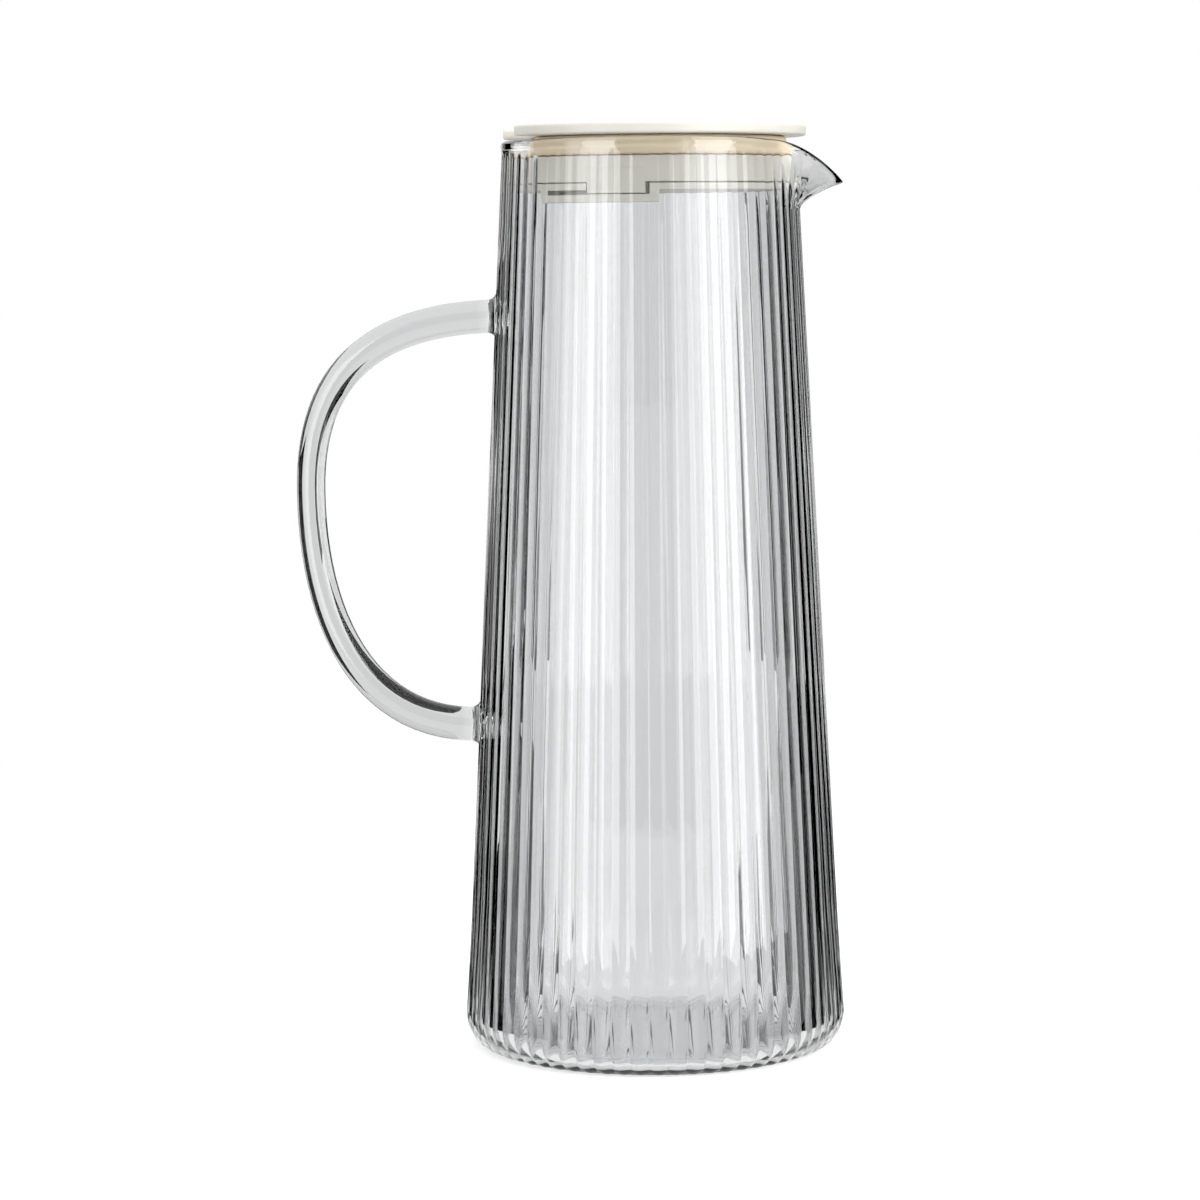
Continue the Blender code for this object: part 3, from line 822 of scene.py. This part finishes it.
class JUG_OT_lid_cover(bpy.types.Operator):
    """Build the lid's notched plate, neck, plug wall and lug"""

    bl_idname = "jug.lid_cover"
    bl_label = "Lid Cover"

    def execute(self, context):
        scene = context.scene
        lid = scene.jug_lid
        plate_low, shoulder, foot, _, _ = lid_levels(lid)
        edge = lid.plate_edge
        turn = np.linspace(0, pi / 2, 7)
        inset = np.concatenate([edge * (1 - np.sin(turn)), edge * (1 - np.cos(turn))])
        height = np.concatenate([plate_low + edge * (1 - np.cos(turn)),
                                 plate_low + lid.plate - edge * (1 - np.sin(turn))])
        x, y = plate_rows(lid, inset)
        plate = shell_mesh("lid_cover_shell", lid_place(lid, x, y, height[:, None]))

        bead = 0.5 * MM
        inner_neck = -lid.neck_inset - lid.wall
        top = plate_low + lid.plate / 2
        ceiling = shoulder - lid.wall
        offset = [inner_neck, inner_neck, -lid.wall, -lid.wall, -lid.wall + bead / 3, -bead / 3,
                  0, 0, -bead / 3, -bead, -lid.neck_inset, -lid.neck_inset]
        level = [top, ceiling, ceiling, foot + bead / 3, foot, foot,
                 foot + bead / 3, shoulder - bead, shoulder - bead / 3, shoulder, shoulder, top]
        plug = tube_mesh("plug_shell", plug_stack(lid, offset, level))
        lug = shell_mesh("lug_shell", arc_bar(
            lid, lid.lug_angle - lid.lug_half, lid.lug_angle + lid.lug_half,
            lid.plug_radius - lid.wall + 0.05 * MM, lid.plug_radius + 0.12 * MM,
            foot - lid.lug_drop, foot + lid.band * 0.55, 0.3 * MM))
        cover = combine(plate, [plug, lug], "UNION")
        add_piece("lid_cover_shell", cover, cream_finish(scene.jug_finish),
                  "lid", ["lid_cover"])
        return {"FINISHED"}


class JUG_OT_seal_ring(bpy.types.Operator):
    """Build the silicone ring with its lips, in the lid's neck"""

    bl_idname = "jug.seal_ring"
    bl_label = "Seal Ring"

    def execute(self, context):
        scene = context.scene
        lid = scene.jug_lid
        plate_low, shoulder, _, _, _ = lid_levels(lid)
        low, high = shoulder + lid.gap, plate_low - lid.gap
        share = np.linspace(0, 1, 37)
        edge = 0.5 * MM * np.clip(1 - np.minimum(share, 1 - share) * 8, 0, 1) ** 2
        lips = 0.14 * MM * (0.5 + 0.5 * np.cos(2 * pi * 3 * share))
        offset = np.concatenate([lid.seal_proud - edge - lips, [lid.gap - lid.neck_inset] * 2])
        level = np.concatenate([low + (high - low) * share, [high, low]])
        ring = tube_mesh("seal_ring_lips", plug_stack(lid, offset, level))
        add_piece("seal_ring_lips", ring, tan_finish(scene.jug_finish),
                  "lid", ["seal_ring"])
        return {"FINISHED"}


class JUG_OT_plug_cap(bpy.types.Operator):
    """Build the clip-on cap: floor, spigot, and the pocket and slot round the lug"""

    bl_idname = "jug.plug_cap"
    bl_label = "Plug Cap"

    def execute(self, context):
        scene = context.scene
        lid = scene.jug_lid
        _, _, foot, high, low = lid_levels(lid)
        bead = 0.35 * MM
        turn = np.linspace(0, pi / 2, 5)
        offset = np.concatenate([bead * (np.sin(turn) - 1), bead * (np.cos(turn) - 1)])
        level = np.concatenate([low + bead * (1 - np.cos(turn)), high - bead * (1 - np.sin(turn))])
        cap = shell_mesh("plug_cap_shell", plug_stack(lid, offset, level))

        outside = -lid.wall - lid.spigot_gap
        inside = outside - lid.spigot_wall
        top = foot + lid.spigot
        offset = [inside, outside, outside, outside - bead, inside + bead, inside]
        level = [high - bead, high - bead, top - bead, top, top, top - bead]
        spigot = tube_mesh("spigot", plug_stack(lid, offset, level))

        inner = lid.plug_radius - lid.wall
        outer = lid.plug_radius + 2 * MM
        start = lid.lug_angle - lid.lug_half - lid.gap / lid.plug_radius
        end = lid.lug_angle + lid.lug_half + lid.play
        slot_start = start - lid.slot_angle
        rail = foot - lid.lug_drop - lid.gap
        back = inner - lid.pocket_back
        pocket = shell_mesh("pocket", arc_bar(
            lid, slot_start - lid.post_angle, end + lid.post_angle, back, lid.plug_radius,
            rail - lid.rail, low + 2 * bead, 0.25 * MM))
        joined = combine(cap, [spigot, pocket], "UNION")
        gap = shell_mesh("gap", arc_bar(
            lid, start, end, inner - lid.gap, outer, rail, high + 2 * MM, 0.1 * MM))
        slot = shell_mesh("slot", arc_bar(
            lid, slot_start, start + lid.gap / inner, back + lid.wall / 2, outer,
            rail - 0.1 * MM, low + 0.1 * MM, 0.2 * MM))
        cut = combine(joined, [gap, slot], "DIFFERENCE")
        add_piece("plug_cap_shell", cut, cream_finish(scene.jug_finish),
                  "cap", ["plug_cap"])
        return {"FINISHED"}


# Stage

def stage_surface(name, color):
    """A matt stage surface that can glow white; gives it with its tree and shader."""
    made, tree, shader = new_material(name)
    feed_all(tree, shader, Base_Color=color, Roughness=1, Specular_IOR_Level=0,
             Emission_Color=WHITE)
    return made, tree, shader


def room_light(tree, glow, fill, through):
    """Strength of a light: glow in gloss and glass, fill on matt pieces, more behind glass."""
    path = tree.nodes.new("ShaderNodeLightPath").outputs
    behind = add_range(tree, path["Transmission Depth"], fill, fill * through)
    return add_range(tree, path["Diffuse Depth"], glow, behind)


def panel_surface(studio, name, glow, share):
    """A panel with a glow in gloss and glass, and a share of the room's light on matt pieces."""
    made, tree, shader = stage_surface(name, BLACK)
    light = room_light(tree, glow, studio.fill * share, studio.through_glass)
    feed(tree, shader["Emission Strength"], light)
    return made


def floor_surface(studio):
    """White floor: matt near the jug, where it takes the shadow, turning into the white room.

    Within mirror_from of the axis, which is under the foot, it is a dull mirror. Clear glass
    sees the white of the room in the rest of it.
    """
    matt_to, room_from = 0.12, 0.7
    mirror_from, mirror_to = 0.0445, 0.0455
    paint, mirror = (0.8, 0.8, 0.8, 1), (0.97, 0.97, 0.97, 1)
    made, tree, shader = stage_surface("white_floor", paint)
    path = tree.nodes.new("ShaderNodeLightPath").outputs
    reach = add_reach(tree, object_place(tree))
    far = add_range(tree, reach, 0, 1, matt_to, room_from, "SMOOTHSTEP")
    plain = add_math(tree, "MAXIMUM", far, path["Is Transmission Ray"])
    open_floor = add_range(tree, reach, 0, 1, mirror_from, mirror_to)
    glow = add_range(tree, plain, studio.floor_glow, open_floor)
    either = add_math(tree, "ADD", path["Is Camera Ray"], path["Is Glossy Ray"])
    seen = add_math(tree, "ADD", either, path["Is Transmission Ray"], clamp=True)
    feed_all(tree, shader,
             Base_Color=add_mix(tree, open_floor, mirror, add_mix(tree, plain, paint, BLACK)),
             Metallic=add_range(tree, open_floor, 1, 0),
             Roughness=add_range(tree, open_floor, 0.05, 0.8),
             Emission_Strength=add_math(tree, "MULTIPLY", seen, glow))
    return made


def add_panel(name, points, material, hidden=True):
    """A stage panel from a grid of points; a hidden one shows only in glass and gloss."""
    mesh = bpy.data.meshes.new(name)
    faces = grid_faces(*points.shape[:2], closed=False)
    mesh.from_pydata(points.reshape(-1, 3), [], faces.tolist())
    mesh.materials.append(material)
    panel = bpy.data.objects.new(name, mesh)
    bpy.context.scene.collection.objects.link(panel)
    if hidden:
        panel.visible_camera = False
        panel.visible_diffuse = False
        panel.visible_shadow = False
    return panel


def upright_arc(start, end, radius, foot_radius, top):
    """Points on a cylinder or cone round the jug, its angles clockwise from straight back."""
    angle = np.radians(np.linspace(start, end, 24))
    height = np.array([0, top])[:, None]
    reach = np.array([foot_radius, radius])[:, None]
    return np.stack([reach * np.sin(angle), reach * np.cos(angle), height + 0 * angle], axis=-1)


def floor_flag(hand):
    """Points on a flat flag beside the jug, from a stepped inner edge out to the ring of flags."""
    away = np.array([-0.07, -0.03, 0.0, 0.03, 0.07, 0.12, 0.18, 0.38, 0.52, 0.62, 0.72, 0.90])
    inner = np.array([0.080, 0.074, 0.073, 0.072, 0.072, 0.074,
                      0.080, 0.17, 0.26, 0.34, 0.42, 0.60])
    level = 0 * away + MM
    edge = np.stack([hand * inner, away, level], axis=-1)
    outer = np.stack([hand * (0 * away + FLAG_RING[0]), away, level], axis=-1)
    return np.stack([edge, outer], axis=1)


def stage_panels(studio):
    """The black flags, soft boxes and white card that give the glass its lines."""
    black = panel_surface(studio, "black_flag", 0, 0.6)
    dark = panel_surface(studio, "dark_flag", 0, 0.2)
    white = panel_surface(studio, "white_card", 1, 1)
    left_box = panel_surface(studio, "left_soft_box", studio.left_box, 1.1)
    right_box = panel_surface(studio, "right_soft_box", studio.right_box, 2)
    side_box = panel_surface(studio, "side_soft_box", studio.strip, 1.5)
    arcs = (
        ("flag_left", -studio.flag_start, -46, FLAG_RING, black),
        ("flag_right", studio.flag_start, 46, FLAG_RING, black),
        ("side_flag_left", -66, -112, FLAG_RING, dark),
        ("side_flag_right", 56, 112, FLAG_RING, black),
        ("flag_behind", 158, 206, BEHIND_RING, black),
        ("soft_box_left", -153, -127, BOX_RING, left_box),
        ("soft_box_right", 113, 146, BOX_RING, right_box),
        ("side_box_left", -125, -113, BOX_RING, side_box),
        ("side_box_right", 150, 155, BOX_RING, side_box),
    )
    panels = [add_panel(name, upright_arc(start, end, *ring), surface)
              for name, start, end, ring, surface in arcs]
    card = np.array([[(-0.114, 0.034, z), (-0.2, 0.07, z)] for z in (0.05, 0.34)])
    panels.append(add_panel("handle_card", card, white))
    panels.append(add_panel("floor_flag_left", floor_flag(-1), black))
    panels.append(add_panel("floor_flag_right", floor_flag(1), black))
    return panels


def add_lamp(scene, name, place, size, power):
    """A soft lamp that lights matt pieces only, aimed at the middle of the jug."""
    lamp = bpy.data.lights.new(name, "AREA")
    lamp.shape = "RECTANGLE"
    lamp.size = size
    lamp.size_y = size * 1.5
    lamp.energy = power
    made = bpy.data.objects.new(name, lamp)
    scene.collection.objects.link(made)
    made.visible_glossy = False
    made.visible_transmission = False
    made.location = place
    aim = Vector((0, 0, 0.14)) - Vector(place)
    made.rotation_euler = aim.to_track_quat("-Z", "Y").to_euler()


def add_camera(scene, studio):
    """The camera in front of the jug, pitched down and rolled about its view."""
    lens = bpy.data.cameras.new("camera")
    lens.lens = studio.lens
    lens.sensor_width = 36
    lens.clip_start = 0.01
    camera = bpy.data.objects.new("camera", lens)
    scene.collection.objects.link(camera)
    across = Vector((1, 0, 0))
    forward = Vector((0, cos(studio.pitch), -sin(studio.pitch)))
    level_up = Vector((0, sin(studio.pitch), cos(studio.pitch)))
    right = cos(studio.roll) * across + sin(studio.roll) * level_up
    up = -sin(studio.roll) * across + cos(studio.roll) * level_up
    turn = Matrix((right, up, -forward)).transposed()
    place = Vector((studio.side, -studio.distance, studio.rise))
    camera.matrix_world = Matrix.Translation(place) @ turn.to_4x4()
    scene.camera = camera
    return camera


class JUG_OT_stage(bpy.types.Operator):
    """Add the white floor and room, the panels round the glass, the lamps and the camera"""

    bl_idname = "jug.stage"
    bl_label = "Stage"

    def execute(self, context):
        scene = context.scene
        studio = scene.jug_studio
        side = np.array([-4.0, 4.0])
        flat = np.stack([*np.meshgrid(side, side), np.full((2, 2), -0.2 * MM)], axis=-1)
        add_panel("floor", flat, floor_surface(studio), hidden=False)

        world = bpy.data.worlds.new("white_room")
        scene.world = world
        world.use_nodes = True
        tree = world.node_tree
        light = room_light(tree, 1, studio.fill, studio.through_glass)
        feed_all(tree, tree.nodes["Background"].inputs, Color=WHITE, Strength=light)

        add_lamp(scene, "key", (1.0, -0.8, 0.6), 0.5, 9)
        add_lamp(scene, "fill", (-0.9, -1.0, 0.9), 0.6, 2)
        camera = add_camera(scene, studio)
        for panel in stage_panels(studio):
            panel.parent = camera
            panel.matrix_parent_inverse = camera.matrix_world.inverted()
        scene.view_settings.view_transform = "Standard"
        return {"FINISHED"}


class JUG_PT_panel(bpy.types.Panel):
    """Sizes and build steps of the jug"""

    bl_idname = "JUG_PT_panel"
    bl_label = "Glass Jug"
    bl_space_type = "VIEW_3D"
    bl_region_type = "UI"
    bl_category = "Jug"

    def draw(self, context):
        for operator in OPERATORS:
            self.layout.operator(operator.bl_idname)
        for name, group in SETTINGS.items():
            box = self.layout.box()
            settings = getattr(context.scene, name)
            for prop in group.__annotations__:
                box.prop(settings, prop)


OPERATORS = (JUG_OT_glass, JUG_OT_lid_cover, JUG_OT_seal_ring, JUG_OT_plug_cap, JUG_OT_stage)


def register():
    for cls in (*SETTINGS.values(), *OPERATORS, JUG_PT_panel):
        bpy.utils.register_class(cls)
    for name, group in SETTINGS.items():
        setattr(bpy.types.Scene, name, PointerProperty(type=group))


def unregister():
    for name in SETTINGS:
        delattr(bpy.types.Scene, name)
    for cls in (JUG_PT_panel, *OPERATORS[::-1], *list(SETTINGS.values())[::-1]):
        bpy.utils.unregister_class(cls)


def main():
    register()
    bpy.ops.jug.glass()
    bpy.ops.jug.lid_cover()
    bpy.ops.jug.seal_ring()
    bpy.ops.jug.plug_cap()
    bpy.ops.jug.stage()


if __name__ == "__main__":
    main()
